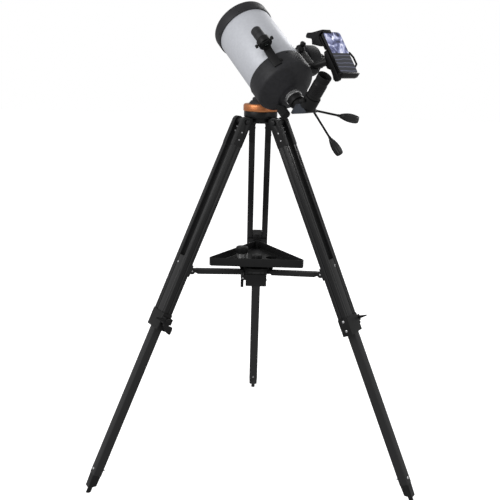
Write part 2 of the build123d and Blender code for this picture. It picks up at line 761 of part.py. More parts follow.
with BuildPart() as dock_jaw:
    with BuildSketch(phone_side(-30)):
        with BuildLine():
            Spline((64.6, 3.8), (70, -6), (79, -24), (91, -43))
            Spline((91, -43), (92.5, -50), (88, -56), (82, -53))
            Spline((82, -53), (76, -47), (70, -42.5), (66, -44))
            Polyline((66, -44), (58.5, -48), (36, -26), (36, -18.8), (58, -18.8), (62.4, -14.2),
                     (62.4, 3.8), (64.6, 3.8))
        make_face()
    extrude(amount=26)
    with BuildSketch(phone_side(-30)):
        with Locations((60, 2.2)):
            Rectangle(8, 3.2)
    extrude(amount=26)
    with BuildSketch(phone_side(-28)):
        with Locations((40, -16.3)):
            Rectangle(40, 4.2)
    extrude(amount=10)
save("dock_jaw", dock_jaw.part)

with BuildPart() as dock_loop:
    with BuildLine() as loop_path:
        loop_plane = phone_face(-11)
        points = [(-36, -23), (-36, -40), (-27, -50), (-6, -50), (8, -43), (8, -23)]
        FilletPolyline(*[loop_plane.from_local_coords(point) for point in points], radius=6)
    with BuildSketch(Plane(origin=loop_path.line @ 0, z_dir=loop_path.line % 0)):
        Circle(2.6)
    sweep()
save("dock_plate", Compound(children=[*dock_plate.part.solids(), *dock_loop.part.solids()]))
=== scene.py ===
import json
from math import cos, pi, radians, sin
import bmesh
import bpy
from mathutils import Matrix, Vector

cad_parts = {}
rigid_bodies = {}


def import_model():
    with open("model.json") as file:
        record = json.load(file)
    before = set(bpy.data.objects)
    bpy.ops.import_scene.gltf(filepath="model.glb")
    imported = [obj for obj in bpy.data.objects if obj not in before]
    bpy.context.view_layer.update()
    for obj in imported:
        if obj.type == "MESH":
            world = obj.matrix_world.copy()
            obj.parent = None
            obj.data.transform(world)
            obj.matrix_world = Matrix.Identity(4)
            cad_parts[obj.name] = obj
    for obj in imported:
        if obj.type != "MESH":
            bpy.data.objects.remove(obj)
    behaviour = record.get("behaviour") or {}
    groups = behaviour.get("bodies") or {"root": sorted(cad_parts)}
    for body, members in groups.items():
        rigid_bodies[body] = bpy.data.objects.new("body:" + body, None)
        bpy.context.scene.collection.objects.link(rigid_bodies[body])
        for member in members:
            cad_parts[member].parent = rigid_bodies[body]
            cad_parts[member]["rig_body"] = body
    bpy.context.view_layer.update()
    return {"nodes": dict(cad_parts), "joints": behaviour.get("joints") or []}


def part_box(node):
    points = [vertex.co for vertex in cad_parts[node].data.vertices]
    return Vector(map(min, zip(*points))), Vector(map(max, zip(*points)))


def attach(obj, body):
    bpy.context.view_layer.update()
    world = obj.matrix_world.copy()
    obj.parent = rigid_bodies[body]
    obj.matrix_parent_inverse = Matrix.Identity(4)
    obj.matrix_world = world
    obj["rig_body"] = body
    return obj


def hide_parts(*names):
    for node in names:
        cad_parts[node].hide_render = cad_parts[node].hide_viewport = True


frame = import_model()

joints = {joint["name"]: joint for joint in frame["joints"]}
LEGS = ("front_left", "front_right", "back")
MM = 0.001
TO_MM = Matrix.Scale(1 / MM, 4)


def joint_axis(name):
    return Vector(joints[name]["axis"])


def joint_place(name):
    return Vector(joints[name]["pos_m"])


# ---- directions ----
RIGHT = joint_axis("altitude_turn").normalized()
AXIS = joint_axis("tube_slide").normalized()
TOP = RIGHT.cross(AXIS).normalized()
UP = Vector((0, 0, 1))
PHONE_UP = joint_axis("dock_jaw_slide").normalized()
PHONE_OUT = RIGHT.cross(PHONE_UP).normalized()

# ---- sizes shared by several pieces, in millimetres ----
PIVOT_S = -70               # the altitude axis, along the tube from its origin
CELL_R = 76                 # front and rear cells
TUBE_BACK, TUBE_FRONT = -125, 40
CASTING_BACK = -205         # flat back of the rear casting
VISUAL_BORE_R = 15.95
BARREL_R = 15.87            # eyepiece barrels
EYEPIECE_S = -263
FINDER_RHO, FINDER_TURN = 104, -40  # the finder's distance from the axis, and turn in degrees
LINK_START = (-146, 42, 78)  # s, u and r where the dock's link starts, in the bracket
LINK_END_R = 100            # r where it ends, at the dock plate
BRACE_BOLT_S, BRACE_BOLT_IN = 411.1, 28  # the brace's hinge: down the leg, and inwards of it
RAIL_X, RAIL_HALF = 21.8, 8.5  # a rail's middle from the leg's, and half its width
LEVER_S, LEVER_X = 552, 41.5  # pivot of a clamp's lever
PLATE_HINGE_R, PLATE_HINGE_Z = 50, 552.6  # the brace's other hinge, on the spreader plate

PIVOT = joint_place("altitude_turn")
CENTRE = PIVOT - AXIS * PIVOT_S * MM


def basis(origin, x_dir, z_dir):
    """Matrix that puts local x and z along these directions at this origin."""
    z = z_dir.normalized()
    x = (x_dir - z * x_dir.dot(z)).normalized()
    y = z.cross(x)
    return Matrix(((x.x, y.x, z.x, origin.x), (x.y, y.y, z.y, origin.y),
                   (x.z, y.z, z.z, origin.z), (0, 0, 0, 1)))


def tube_point(s, u=0, r=0):
    """Point at s along the optical tube, u above its axis and r to its right, in millimetres."""
    return CENTRE + (AXIS * s + TOP * u + RIGHT * r) * MM


def across_tube(s, u=0, r=0):
    """Frame with z along the tube."""
    return basis(tube_point(s, u, r), TOP, AXIS)


def up_tube(s, u, r=0):
    """Frame with z upwards from the tube and x to its right."""
    return basis(tube_point(s, u, r), RIGHT, TOP)


def beside_tube(r):
    """Frame with x along the tube, y above it and z to its right."""
    return basis(tube_point(0, 0, r), AXIS, RIGHT)


def radial(turn):
    """Direction out of the tube, turned this many degrees from its top towards its right."""
    return TOP * cos(radians(turn)) + RIGHT * sin(radians(turn))


def leg_axes(leg):
    """A leg's sideways, outward and downward directions."""
    side, down = joint_axis(f"fold_{leg}"), joint_axis(f"extend_{leg}")
    return side, down.cross(side), down


def leg_point(leg, s, x=0, y=0):
    """Point s down a leg from its hinge, x sideways and y outwards, in millimetres."""
    side, outward, down = leg_axes(leg)
    return joint_place(f"fold_{leg}") + (down * s + side * x + outward * y) * MM


def across_leg(leg, s, x=0, y=0):
    """Frame with x across a leg and z down it."""
    side, _, down = leg_axes(leg)
    return basis(leg_point(leg, s, x, y), side, down)


# Turns an outline of (u, r) points, extruded along s, into the frame that beside_tube gives.
ALONG_S = Matrix(((0, 0, 1, 0), (1, 0, 0, 0), (0, 1, 0, 0), (0, 0, 0, 1)))
# Turns an outline of (s, y) points, extruded along x, into the frame that across_leg gives.
ALONG_X = Matrix(((0, 0, 1, 0), (0, 1, 0, 0), (1, 0, 0, 0), (0, 0, 0, 1)))


# ---- materials ----
def add_node(material, kind, values=()):
    """Adds a node to the material and sets the inputs that values names."""
    node = material.node_tree.nodes.new(kind)
    for socket, value in dict(values).items():
        node.inputs[socket].default_value = value
    return node


def colour_ramp(material, factor, stops):
    """Colour output that runs through these (position, colour) stops."""
    node = add_node(material, "ShaderNodeValToRGB")
    ramp = node.color_ramp
    ramp.elements[0].position, ramp.elements[1].position = stops[0][0], stops[-1][0]
    ramp.elements[0].color, ramp.elements[1].color = (*stops[0][1], 1), (*stops[-1][1], 1)
    for place, colour in stops[1:-1]:
        ramp.elements.new(place).color = (*colour, 1)
    material.node_tree.links.new(factor, node.inputs["Fac"])
    return node.outputs["Color"]


def finish(name, colour, rough, metallic=0.0, grain=900, bump=0.05, uneven=0.12, coat=0.0,
           stretch=(1, 1, 1), wear=0.0, specular=0.5):
    """Procedural finish: uneven colour and roughness, a fine grain and lighter worn edges."""
    material = bpy.data.materials.new(name)
    material.use_nodes = True
    nodes, links = material.node_tree.nodes, material.node_tree.links
    shader = nodes["Principled BSDF"]
    shader.inputs["Metallic"].default_value = metallic
    shader.inputs["Coat Weight"].default_value = coat
    shader.inputs["Specular IOR Level"].default_value = specular
    shader.inputs["Coat Roughness"].default_value = 0.12
    coords = add_node(material, "ShaderNodeTexCoord")
    mapping = add_node(material, "ShaderNodeMapping", {"Scale": stretch})
    links.new(coords.outputs["Object"], mapping.inputs["Vector"])
    broad = add_node(material, "ShaderNodeTexNoise", {"Scale": grain / 18, "Detail": 4})
    fine = add_node(material, "ShaderNodeTexNoise", {"Scale": grain, "Detail": 3})
    for noise in (broad, fine):
        links.new(mapping.outputs["Vector"], noise.inputs["Vector"])
    colour_out = colour_ramp(material, broad.outputs["Fac"],
                             ((0.3, [c * (1 - uneven) for c in colour]),
                              (0.7, [min(1, c * (1 + uneven)) for c in colour])))
    if wear:
        geometry = add_node(material, "ShaderNodeNewGeometry")
        edge = add_node(material, "ShaderNodeMapRange",
                        {"From Min": 0.53, "From Max": 0.62, "To Max": wear})
        links.new(geometry.outputs["Pointiness"], edge.inputs["Value"])
        mix = add_node(material, "ShaderNodeMix")
        mix.data_type = "RGBA"
        mix.inputs["B"].default_value = [min(1, c * 3 + 0.06) for c in colour] + [1]
        links.new(edge.outputs["Result"], mix.inputs["Factor"])
        links.new(colour_out, mix.inputs["A"])
        colour_out = mix.outputs["Result"]
    links.new(colour_out, shader.inputs["Base Color"])
    spread = add_node(material, "ShaderNodeMapRange",
                      {"To Min": max(0.03, rough * 0.8), "To Max": min(1, rough * 1.2)})
    links.new(fine.outputs["Fac"], spread.inputs["Value"])
    links.new(spread.outputs["Result"], shader.inputs["Roughness"])
    relief = add_node(material, "ShaderNodeBump", {"Strength": bump, "Distance": 0.0004})
    links.new(fine.outputs["Fac"], relief.inputs["Height"])
    links.new(relief.outputs["Normal"], shader.inputs["Normal"])
    return material


def glass(name, colour):
    """Coated lens glass with a faint uneven tint."""
    material = finish(name, colour, 0.02, bump=0.0, uneven=0.05, coat=1.0)
    shader = material.node_tree.nodes["Principled BSDF"]
    shader.inputs["Transmission Weight"].default_value = 0.9
    shader.inputs["IOR"].default_value = 1.5
    return material


def screen(name):
    """Phone screen: a star cloud on the upper half, pale rows on a dark panel on the lower."""
    material = finish(name, (0.01, 0.012, 0.02), 0.08, bump=0.0, coat=1.0)
    nodes, links = material.node_tree.nodes, material.node_tree.links
    shader = nodes["Principled BSDF"]
    uv = add_node(material, "ShaderNodeUVMap")
    split = add_node(material, "ShaderNodeSeparateXYZ")
    cloud = add_node(material, "ShaderNodeTexNoise",
                     {"Scale": 5.5, "Detail": 6, "Distortion": 1.1})
    rows = add_node(material, "ShaderNodeTexWave",
                    {"Scale": 3.4, "Distortion": 3.0, "Detail": 4})
    rows.bands_direction = "X"
    for node in (split, cloud, rows):
        links.new(uv.outputs["UV"], node.inputs["Vector"])
    sky = colour_ramp(material, cloud.outputs["Fac"],
                      ((0.33, (0.008, 0.01, 0.03)), (0.45, (0.08, 0.09, 0.19)),
                       (0.56, (0.3, 0.32, 0.48)), (0.66, (0.8, 0.81, 0.88))))
    panel = colour_ramp(material, rows.outputs["Fac"],
                        ((0.8, (0.006, 0.007, 0.012)), (1.0, (0.06, 0.065, 0.1))))
    upper = add_node(material, "ShaderNodeMath")
    upper.operation = "GREATER_THAN"
    upper.inputs[1].default_value = 0.48
    links.new(split.outputs["X"], upper.inputs[0])
    mix = add_node(material, "ShaderNodeMix")
    mix.data_type = "RGBA"
    links.new(upper.outputs["Value"], mix.inputs["Factor"])
    links.new(panel, mix.inputs["A"])
    links.new(sky, mix.inputs["B"])
    for socket in ("Base Color", "Emission Color"):
        links.new(mix.outputs["Result"], shader.inputs[socket])
    shader.inputs["Emission Strength"].default_value = 0.95
    return material


MATERIALS = {
    "black_paint": finish("black_paint", (0.006, 0.006, 0.0065), 0.34, grain=1600, bump=0.12,
                          wear=0.35, specular=0.3),
    "black_plastic": finish("black_plastic", (0.008, 0.008, 0.0085), 0.42, grain=1400, bump=0.16,
                            wear=0.15, specular=0.25),
    "gloss_plastic": finish("gloss_plastic", (0.006, 0.006, 0.0065), 0.24, grain=500, bump=0.02,
                            coat=0.3),
    "rubber": finish("rubber", (0.011, 0.011, 0.0115), 0.72, grain=1200, bump=0.35, specular=0.2),
    "charcoal": finish("charcoal", (0.024, 0.024, 0.027), 0.5, grain=2200, bump=0.3, uneven=0.16,
                       wear=0.2, specular=0.3),
    "slate": finish("slate", (0.042, 0.048, 0.06), 0.42, metallic=0.1, grain=1500, bump=0.12,
                    wear=0.3, specular=0.3),
    "silver": finish("silver_paint", (0.64, 0.655, 0.7), 0.5, metallic=0.15, grain=2600, bump=0.06,
                     uneven=0.04, specular=0.35),
    "orange": finish("orange_anodised", (0.66, 0.24, 0.09), 0.38, metallic=0.8, grain=700, bump=0.1,
                     coat=0.2, stretch=(1, 1, 12), wear=0.25),
    "steel": finish("steel", (0.62, 0.62, 0.63), 0.28, metallic=1.0, bump=0.08),
    "chrome": finish("chrome", (0.95, 0.95, 0.96), 0.22, metallic=0.85, grain=400, bump=0.01),
    "inside": finish("flat_black", (0.006, 0.006, 0.006), 0.85, bump=0.2),
    "mirror": finish("mirror_coat", (0.88, 0.89, 0.9), 0.04, metallic=1.0, grain=200, bump=0.0,
                     uneven=0.02),
    "lens": glass("lens_glass", (0.86, 0.95, 0.93)),
    "screen": screen("phone_screen"),
}


# ---- mesh builders ----
def piece(name, bm, matrix, material, body, stands_for=(), bevel=0.0, sharp=32):
    """Makes a piece from a bmesh in millimetres: placed, bevelled, smooth between sharp edges.

    sharp is the angle in degrees from which an edge is sharp, and so bevelled.
    """
    bmesh.ops.remove_doubles(bm, verts=bm.verts, dist=1e-4)
    bmesh.ops.recalc_face_normals(bm, faces=bm.faces)
    if bevel:
        edges = [e for e in bm.edges if e.is_manifold and e.calc_face_angle(0) > radians(sharp)]
        bmesh.ops.bevel(bm, geom=edges, offset=bevel, segments=2, profile=0.6, affect="EDGES",
                        clamp_overlap=True)
    bm.transform(matrix @ Matrix.Scale(MM, 4))
    mesh = bpy.data.meshes.new(name)
    bm.to_mesh(mesh)
    bm.free()
    mesh.polygons.foreach_set("use_smooth", [True] * len(mesh.polygons))
    mesh.set_sharp_from_angle(angle=radians(sharp))
    obj = bpy.data.objects.new(name, mesh)
    bpy.context.scene.collection.objects.link(obj)
    mesh.materials.append(MATERIALS[material])
    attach(obj, body)
    if stands_for:
        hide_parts(*stands_for)
    return obj


def add_lathe(bm, outline, matrix=Matrix(), segments=96, wave=None):
    """Adds a shape turned about local z to bm: outline is (radius, height) in millimetres.

    wave gives what to add to the radius, from the radius and the angle.
    """
    rings = []
    for radius, height in outline:
        if radius < 1e-6:
            rings.append([bm.verts.new(matrix @ Vector((0, 0, height)))])
            continue
        ring = []
        for step in range(segments):
            angle = 2 * pi * step / segments
            reach = radius + (wave(radius, angle) if wave else 0)
            ring.append(bm.verts.new(
                matrix @ Vector((reach * cos(angle), reach * sin(angle), height))))
        rings.append(ring)
    pairs = list(zip(rings, rings[1:]))
    if len(rings[0]) > 1 and len(rings[-1]) > 1:
        pairs.append((rings[-1], rings[0]))
    for low, high in pairs:
        for step in range(segments):
            following = (step + 1) % segments
            corners = [low[step % len(low)], low[following % len(low)],
                       high[following % len(high)], high[step % len(high)]]
            unique = list(dict.fromkeys(corners))
            if len(unique) > 2:
                bm.faces.new(unique)


def lathe(name, outline, matrix, material, body, stands_for=(), segments=96, wave=None):
    """A piece of one turned shape about the matrix's z."""
    bm = bmesh.new()
    add_lathe(bm, outline, segments=segments, wave=wave)
    return piece(name, bm, matrix, material, body, stands_for)


def ribs(count, depth, beyond=0):
    """Wave that cuts this many grip ribs around the parts whose radius is above beyond."""
    def wave(radius, angle):
        return -depth * (0.5 + 0.5 * cos(count * angle))**2 if radius > beyond else 0
    return wave


def rounded(points, radius, steps=5):
    """Outline with each corner replaced by an arc-like curve of about this radius."""
    out = []
    for before, corner, after in zip(points[-1:] + points[:-1], points, points[1:] + points[:1]):
        corner, before, after = Vector(corner), Vector(before), Vector(after)
        a, b = before - corner, after - corner
        reach = min(radius, a.length * 0.49, b.length * 0.49)
        start, end = corner + a.normalized() * reach, corner + b.normalized() * reach
        for step in range(steps + 1):
            t = step / steps
            out.append(start * (1 - t)**2 + corner * 2 * t * (1 - t) + end * t**2)
    return [tuple(p) for p in out]


def rectangle(width, height, x=0, y=0):
    return [(x - width / 2, y - height / 2), (x + width / 2, y - height / 2),
            (x + width / 2, y + height / 2), (x - width / 2, y + height / 2)]


def add_prism(bm, outline, low, high, matrix=Matrix()):
    """Adds an outline, in millimetres, extruded along local z from low to high."""
    bottom = [bm.verts.new(matrix @ Vector((x, y, low))) for x, y in outline]
    top = [bm.verts.new(matrix @ Vector((x, y, high))) for x, y in outline]
    bm.faces.new(bottom[::-1])
    bm.faces.new(top)
    for i in range(len(outline)):
        j = (i + 1) % len(outline)
        bm.faces.new((bottom[i], bottom[j], top[j], top[i]))


def prism(name, outline, low, high, matrix, material, body, stands_for=(), bevel=0.0):
    """A piece of one outline extruded along the matrix's z."""
    bm = bmesh.new()
    add_prism(bm, outline, low, high)
    return piece(name, bm, matrix, material, body, stands_for, bevel)


def refined(node, material, width):
    """The CAD node's own shape with eased edges of this width and smooth curved faces."""
    bm = bmesh.new()
    bm.from_mesh(frame["nodes"][node].data)
    bmesh.ops.remove_doubles(bm, verts=bm.verts, dist=1e-6)
    bmesh.ops.dissolve_limit(bm, angle_limit=radians(0.6), verts=bm.verts, edges=bm.edges)
    bm.transform(TO_MM)
    body = frame["nodes"][node]["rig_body"]
    return piece(f"{node}_shell", bm, Matrix(), material, body, (node,), bevel=width)


def screws(name, spots, material, body, size, height):
    """Round-head screws with a recess; spots are matrices whose z points out of the surface."""
    bm = bmesh.new()
    outline = [(0, height * 0.35), (size * 0.42, height * 0.35), (size * 0.45, height * 0.98),
               (size * 0.7, height * 0.85), (size * 0.93, height * 0.5), (size, 0), (size, -0.6),
               (0, -0.6)]
    for spot in spots:
        local = spot.copy()
        local.translation = TO_MM @ spot.translation
        add_lathe(bm, outline, local, 24)
    return piece(name, bm, Matrix(), material, body)


# ---- optical tube ----
def build_tube():
    body = "optical_tube"
    along = across_tube(0)
    lathe("silver_tube", [(71.5, TUBE_BACK), (72.7, TUBE_BACK), (73, TUBE_BACK + 0.6),
                          (73, TUBE_FRONT - 0.6), (72.7, TUBE_FRONT), (71.5, TUBE_FRONT)],
          along, "silver", body, ("tube",), 160)
    bm = bmesh.new()
    add_lathe(bm, [(66, TUBE_FRONT), (74.6, TUBE_FRONT), (75.7, 40.5), (CELL_R, 41.6),
                   (CELL_R, 67.2), (75.4, 69.2), (74, 70), (69.4, 70), (68, 69.2), (66, 63.5)],
              segments=160)
    add_lathe(bm, [(61, 60.5), (65.9, 60.5), (65.9, 62.6), (65.4, 63), (61.6, 63), (61, 62.6)],
              segments=120)
    piece("front_cell", bm, along, "charcoal", body, ("front_ring",))
    lathe("rear_casting",
          [(72, TUBE_BACK), (74.8, TUBE_BACK), (75.7, -125.4), (CELL_R, -126.4),
           # shoulder and cone
           (CELL_R, -165), (75.7, -168.2), (74.8, -171.2), (73.2, -173.9), (71, -176.1),
           (68, -177.5), (41, -204.4), (39.6, CASTING_BACK),
           # hollow inside
           (16.1, CASTING_BACK), (16.1, -201), (38, -201), (65.5, -175.5), (72, -167)],
          along, "charcoal", body, ("rear_cell",), 160)
    spots = [basis(tube_point(s) + radial(turn) * (CELL_R + 0.1) * MM, AXIS, radial(turn))
             for s, start in ((47, 20), (-132, 50)) for turn in range(start, 360 + start, 60)]
    screws("cell_screws", spots, "gloss_plastic", body, 2.2, 1.0)
    lathe("visual_back_flange",
          [(VISUAL_BORE_R, CASTING_BACK), (20.8, CASTING_BACK), (21.5, -205.7), (21.5, -213.2),
           (20.7, -214), (VISUAL_BORE_R, -214)], along, "chrome", body, ("visual_back",), 320,
          lambda radius, angle: -1.6 * (cos(40 * angle) > 0.2) if radius > 21 else 0)
    lathe("visual_back_collar",
          [(VISUAL_BORE_R, -214.1), (19.2, -214.1), (19.5, -214.8), (19.5, -229.4), (18.8, -230),
           (VISUAL_BORE_R, -230)], along, "black_plastic", body)
    bar = [(22.2, 69.5), (22.2, 74), (18.6, 86), (-18.6, 86), (-22.2, 74), (-22.2, 69.5),
           (-11, 72.4), (0, 73.1), (11, 72.4)]
    prism("dovetail", bar, -118, -34, beside_tube(0) @ ALONG_S, "black_paint", body,
          ("dovetail_bar",), bevel=0.5)


def build_focus():
    bm = bmesh.new()
    add_lathe(bm, [(0, 0), (9.8, 0), (11.3, 0.6), (12, 2), (12, 24.4), (11.4, 25.8), (7, 26.2),
                   (7, 34), (6.4, 34.4), (0, 34.4)], segments=144, wave=ribs(24, 0.9, 11.5))
    add_lathe(bm, [(3, 34), (3, 59), (0, 59)], segments=24)
    piece("focus_grip", bm, across_tube(-240, -32, -25), "rubber", "focus", ("focus_knob",))


def build_diagonal():
    body = "diagonal"
    refined("diagonal_body", "black_plastic", 0.8)
    outline = rounded([(-243.5, -19), (-248, -19), (-282, 15), (-282, 19), (-254, 19),
                       (-243.5, 8)], 1.6)
    bm = bmesh.new()
    for side in (-1, 1):
        add_prism(bm, outline, side * 18.4 - 0.6, side * 18.4 + 0.6)
    piece("diagonal_side_plates", bm, beside_tube(0), "slate", body, bevel=0.3)
    plate_screws = [basis(tube_point(s, u, -19), AXIS, -RIGHT)
                    for s, u in ((-248, -14.5), (-277.5, 15.5), (-249, 9))]
    screws("diagonal_screws", plate_screws, "gloss_plastic", body, 1.5, 0.7)
    lathe("holder_thumbscrew",
          [(0, -3), (2, -3), (2, 2), (4.4, 2.2), (5, 3), (5, 8), (4.2, 9), (0, 9)],
          basis(tube_point(EYEPIECE_S, 38, -20), TOP, -RIGHT), "black_plastic", body,
          segments=60, wave=ribs(15, 0.6, 4.6))


def build_eyepiece():
    body = "eyepiece"
    matrix = up_tube(EYEPIECE_S, 0)
    outline = [(11, 24), (BARREL_R, 24), (BARREL_R, 48.5), (17.5, 48.8), (17.5, 54), (16.7, 54.6),
               (16.7, 58.2), (17.5, 58.8), (17.5, 63)]
    for ring in range(7):
        low = 63 + ring * 3.4
        outline += [(16.9, low + 0.5), (16.9, low + 1.5), (17.6, low + 2.1), (17.6, low + 3.3)]
    outline += [(17.2, 88), (16.5, 90), (16.5, 97), (12, 98), (11.4, 90), (11, 84)]
    lathe("eyepiece_barrel", outline, matrix, "black_plastic", body, ("eyepiece",))
    lathe("eyecup_rubber", [(14.4, 97.8), (16.6, 96.4), (17.1, 99), (17.5, 110.2), (17.2, 111.5),
                            (16.2, 111.5), (15.2, 109.6), (14.6, 101)], matrix, "rubber", body)
    lathe("eye_lens", [(0, 92.6), (4, 92.9), (8, 93.8), (10.9, 95), (10.9, 90.5), (0, 90.5)],
          matrix, "lens", body, segments=48)


def build_finder():
    out = radial(FINDER_TURN)
    along = basis(CENTRE + out * FINDER_RHO * MM, out, AXIS)
    lathe("finder_barrel",
          [(11.4, -109), (13, -109), (13, -80), (12.6, -79.4), (12.6, -78), (13, -77.4),
           (13, -59), (12.4, -57), (11.4, -57)], along, "charcoal", "finder", ("finder_tube",))
    bm = bmesh.new()
    add_lathe(bm, [(0, -62), (11.2, -62), (11.2, -60.4), (6, -59.9), (0, -59.6)], segments=64)
    add_lathe(bm, [(0, -106), (11.2, -106), (11.2, -104.4), (0, -104.4)], segments=64)
    piece("finder_lenses", bm, along, "lens", "finder", ("finder_windows",))
    refined("finder_bracket", "black_plastic", 0.7)
    tangent = AXIS.cross(out)
    # Two screws aim the finder in its bracket, and one clamps the bracket's foot.
    for number, (s, rho, aside) in enumerate(((-102, FINDER_RHO, 17), (-150, 75, 10),
                                              (-102, FINDER_RHO, -17))):
        spot = CENTRE + AXIS * s * MM + (out * rho + tangent * aside) * MM
        outward = tangent if aside > 0 else -tangent
        lathe(f"finder_screw_{number}",
              [(0, -1), (1.8, -1), (1.8, 1), (4, 1.3), (4.5, 2), (4.5, 6.4), (3.9, 7), (0, 7)],
              basis(spot, AXIS, outward), "black_plastic", "optical_tube",
              segments=60, wave=ribs(12, 0.6, 4.2))


# ---- phone dock ----
def build_dock():
    body = "optical_tube"
    low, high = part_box("phone_screen")
    screen_centre = (low + high) / 2
    refined("dock_plate", "black_plastic", 0.9)
    shoe = [(60, -160), (90, -160), (90, -72), (86, -72), (66, -94), (62, -100)]
    prism("dock_shoe", rounded(shoe, 2.5), 32, 46, up_tube(0, 0), "black_plastic", body,
          ("dock_bracket",), bevel=0.8)
    link_start = tube_point(*LINK_START)
    # The link points at a spot behind the phone and ends at the dock plate.
    behind_phone = screen_centre - PHONE_UP * 8 * MM - PHONE_OUT * 24 * MM - RIGHT * 20 * MM
    reach = behind_phone - link_start
    length = (LINK_END_R - LINK_START[2]) / reach.normalized().dot(RIGHT)
    lathe("dock_link", [(0, -4), (8.4, -4), (9, -3), (9, length), (0, length)],
          basis(link_start, AXIS, reach), "black_plastic", body, segments=64)
    refined("dock_jaw", "black_plastic", 1.2)
    lathe("dock_thumb_knob",
          [(0, 46.3), (11.6, 46.3), (12, 46.9), (12, 48), (10.2, 50.6), (6, 55), (6.3, 57.4),
           (7.3, 60), (7.5, 63.4), (6.4, 65.4), (4, 66), (0, 66)],
          up_tube(-80, 0, 80), "black_plastic", "dock_clamp", ("dock_knob",), 60)
    face = basis(screen_centre, PHONE_UP, PHONE_OUT)
    prism("phone_case", rounded(rectangle(124, 59), 9, 8), -7.7, -0.4, face, "gloss_plastic",
          "phone", ("phone_body",), bevel=1.2)
    glass_long, glass_wide = 121, 56.4
    phone_glass = prism("phone_glass", rounded(rectangle(glass_long, glass_wide), 7.6, 8),
                        -0.35, 0.28, face, "screen", "phone", ("phone_screen",))
    layer = phone_glass.data.uv_layers.new(name="face")
    inverse = face.inverted()
    for loop in phone_glass.data.loops:
        place = inverse @ phone_glass.data.vertices[loop.vertex_index].co
        layer.data[loop.index].uv = (place.x / MM / glass_long + 0.5,
                                     place.y / MM / glass_long + 0.5)


# ---- head ----
def build_saddle():
    """A block with a sloped corner, the two jaws on the dovetail, and the altitude axle."""
    bm = bmesh.new()
    block = [(-110, -30), (-38, -30), (-30, -22), (-30, -12), (-60, 30), (-110, 30)]
    add_prism(bm, rounded(block, 3), 86.5, 98.5)
    for side, end in ((1, -60), (-1, -38)):
        jaw = [(side * 30, 74), (side * 30, 87), (side * 18.8, 87), (side * 22.8, 74)]
        add_prism(bm, jaw, -110, end, ALONG_S)
    add_lathe(bm, [(0, 98), (28.8, 98), (30, 99.2), (30, 112.6), (29, 113.7), (8, 113.7),
                   (8, 169.4), (7.4, 170), (0, 170)], Matrix.Translation((PIVOT_S, 0, 0)))
    piece("saddle_block", bm, beside_tube(0), "charcoal", "saddle", ("saddle",), bevel=0.6)


def build_head():
    for node in ("azimuth_base", "mount_arm", "slow_motion_gearbox"):
        refined(node, "charcoal", 0.8)
    build_saddle()
    refined("saddle_knob", "black_plastic", 0.6)
    clutch_start = 155.3
    lathe("altitude_clutch_knob",
          [(8.1, 0), (19.4, 0), (20.6, 1.2), (20.6, 25.4), (19, 27.6), (8, 28), (7.4, 27.2),
           (0, 27.2), (0, 15.6), (8.1, 15.5)],
          basis(PIVOT + RIGHT * clutch_start * MM, AXIS, RIGHT), "black_plastic",
          "altitude_clutch", ("altitude_knob",), 160, ribs(10, 1.8, 20))
    grip = [(0, 0), (4.4, 0), (5.2, 1), (6.6, 4), (9.2, 11), (11.4, 20), (12.5, 29), (12.4, 39),
            (11.4, 46), (9.6, 50.2), (7, 51.7), (0, 52)]
    for name, length in (("azimuth", 86), ("altitude", 103)):
        body = f"{name}_control"
        along = basis(joint_place(f"{body}_turn"), Vector((0, 1, 0)), joint_axis(f"{body}_turn"))
        lathe(f"{name}_shaft", [(0, 0), (3, 0), (3, length - 6), (3.9, length - 5),
                                (3.9, length), (0, length)],
              along, "black_paint", body, (f"{name}_rod",), 32)
        lathe(f"{name}_handle", [(r, h + length) for r, h in grip], along, "gloss_plastic", body,
              (f"{name}_grip",), 120, ribs(8, 1.2, 8.5))


# ---- tripod ----
def build_crown():
    refined("hub", "black_paint", 0.7)
    bore = 12.06
    lathe("orange_ring",
          [(bore, 982.5), (43.4, 982.5), (45.2, 983.2), (46, 984.8), (46, 988), (45.5, 988.5),
           (46, 989), (46, 996.2), (45.5, 998.6), (44, 1000.8), (42.6, 1001.5), (bore, 1001.5)],
          Matrix(), "orange", "tripod_head", ("azimuth_ring",), 160)
    refined("head_bolts", "black_paint", 0.4)


def build_rails(leg):
    """A leg's two grooved rails, with the crosspiece and the lugs that hold its brace."""
    half, deep, groove = RAIL_HALF, 12, 1.1
    section = [(-half, -deep), (half, -deep), (half, -3), (half - groove, -2.2),
               (half - groove, 2.2), (half, 3), (half, deep), (2.6, deep), (1.8, deep - groove),
               (-1.8, deep - groove), (-2.6, deep), (-half, deep)]
    bm = bmesh.new()
    for side in (1, -1):
        outline = [(side * (x + RAIL_X), y) for x, y in section]
        add_prism(bm, outline[::side], 66, 560)
    add_prism(bm, rectangle(60.6, 4, 0, -14), BRACE_BOLT_S - 16, BRACE_BOLT_S + 16)
    lug = rounded([(402.1, -14), (402.1, -30), (406, -37), (416.2, -37), (420.1, -30),
                   (420.1, -14)], 4)
    for middle in (10.4, -10.4):
        add_prism(bm, lug, middle - 2, middle + 2, ALONG_X)
    piece(f"rails_{leg}", bm, across_leg(leg, 0), "black_paint", f"leg_{leg}",
          (f"leg_rails_{leg}",), bevel=0.7, sharp=40)


